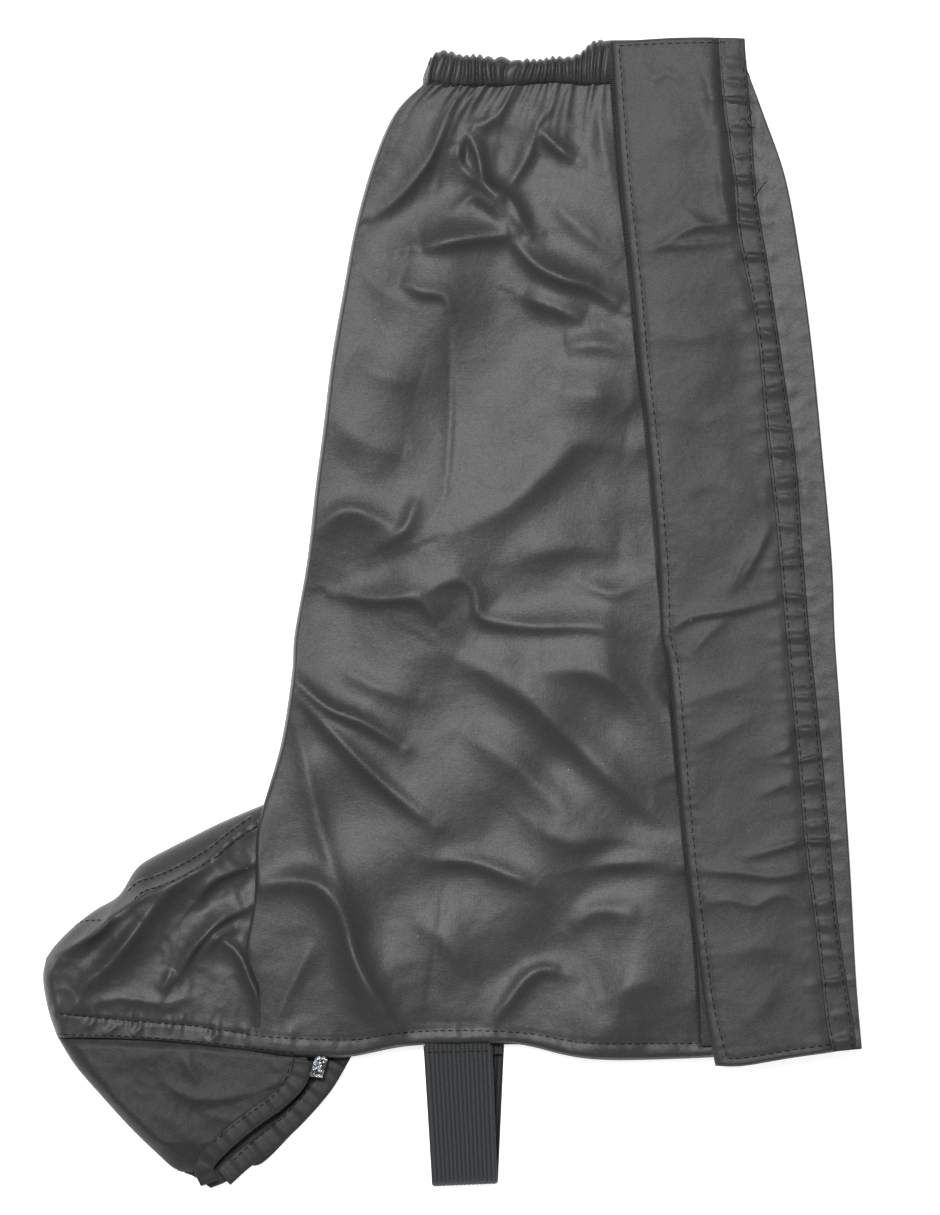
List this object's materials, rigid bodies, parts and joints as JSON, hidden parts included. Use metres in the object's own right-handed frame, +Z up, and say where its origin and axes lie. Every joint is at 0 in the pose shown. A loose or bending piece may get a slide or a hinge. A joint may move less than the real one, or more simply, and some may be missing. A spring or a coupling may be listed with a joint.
{
  "type": "gaiter",
  "caption": "Rain gaiter with toe cover, lying flat: gathered cuff, side storm flap with hook-and-loop closure, toe pocket and elastic stirrup strap.",
  "frame": {"origin": "on the ground under the centre of the gaiter lying flat on its inner side", "axes": "+Z up, out of the outer side; +Y up the leg to the cuff; -X to the toe"},
  "size_m": [0.3164, 0.4444, 0.0171],
  "materials": {
    "shell_nylon": "satin coated plain weave",
    "flap_nylon": "satin coated plain weave",
    "hem_nylon": "satin",
    "sole_nylon": "satin, heavier coating",
    "webbing": "matte ribbed elastic webbing",
    "hook": "matte hook tape",
    "loop": "matte brushed loop pile",
    "clear_elastic": "gloss, clear elastic film"
  },
  "bodies": {
    "gaiter": {"inner_side_panel": "shell_nylon", "outer_side_panel": "shell_nylon", "calf_panel": "shell_nylon", "instep_seam_tape": "hem_nylon", "bottom_hem_outer": "hem_nylon", "bottom_hem_inner": "hem_nylon", "cuff_casing_inner": "shell_nylon", "cuff_elastic_inner": "webbing", "flap_seam_band": "flap_nylon", "strap_end_outer": "webbing", "strap_end_inner": "webbing"},
    "closure": {"closure_panel": "shell_nylon", "bottom_hem_closure": "hem_nylon", "cuff_casing_outer": "shell_nylon", "cuff_elastic_outer": "webbing", "hook_tape": "hook"},
    "flap": {"storm_flap": "flap_nylon", "loop_tape": "loop"},
    "toe_pocket": {"toe_sole_outer": "sole_nylon", "toe_sole_inner": "sole_nylon", "toe_hem_outer": "sole_nylon", "toe_hem_inner": "sole_nylon", "toe_elastic": "clear_elastic"},
    "stirrup": {"stirrup_strap": "webbing"}
  },
  "joints": [
    {"name": "flap_open", "type": "hinge", "parent": "gaiter", "child": "flap", "pos_m": [0.12539, 0.0268, 0.0174], "axis": [-0.1131, 0.9936, 0], "range_deg": [0, 165]},
    {"name": "closure_open", "type": "hinge", "parent": "gaiter", "child": "closure", "pos_m": [0.00569, 0.0179, 0.012], "axis": [0.0856, -0.9963, 0], "range_deg": [0, 25]},
    {"name": "toe_fold", "type": "hinge", "parent": "gaiter", "child": "toe_pocket", "pos_m": [-0.09591, -0.1667, 0.0122], "axis": [-0.9976, 0.0697, 0], "range_deg": [0, 140]},
    {"name": "strap_swing", "type": "hinge", "parent": "gaiter", "child": "stirrup", "pos_m": [0.00234, -0.1706, 0.0122], "axis": [-1, 0, 0], "range_deg": [0, 150]}
  ],
  "couplings": [
    {"joint": "closure_open", "follows": "flap_open", "ratio": 0.15}
  ]
}
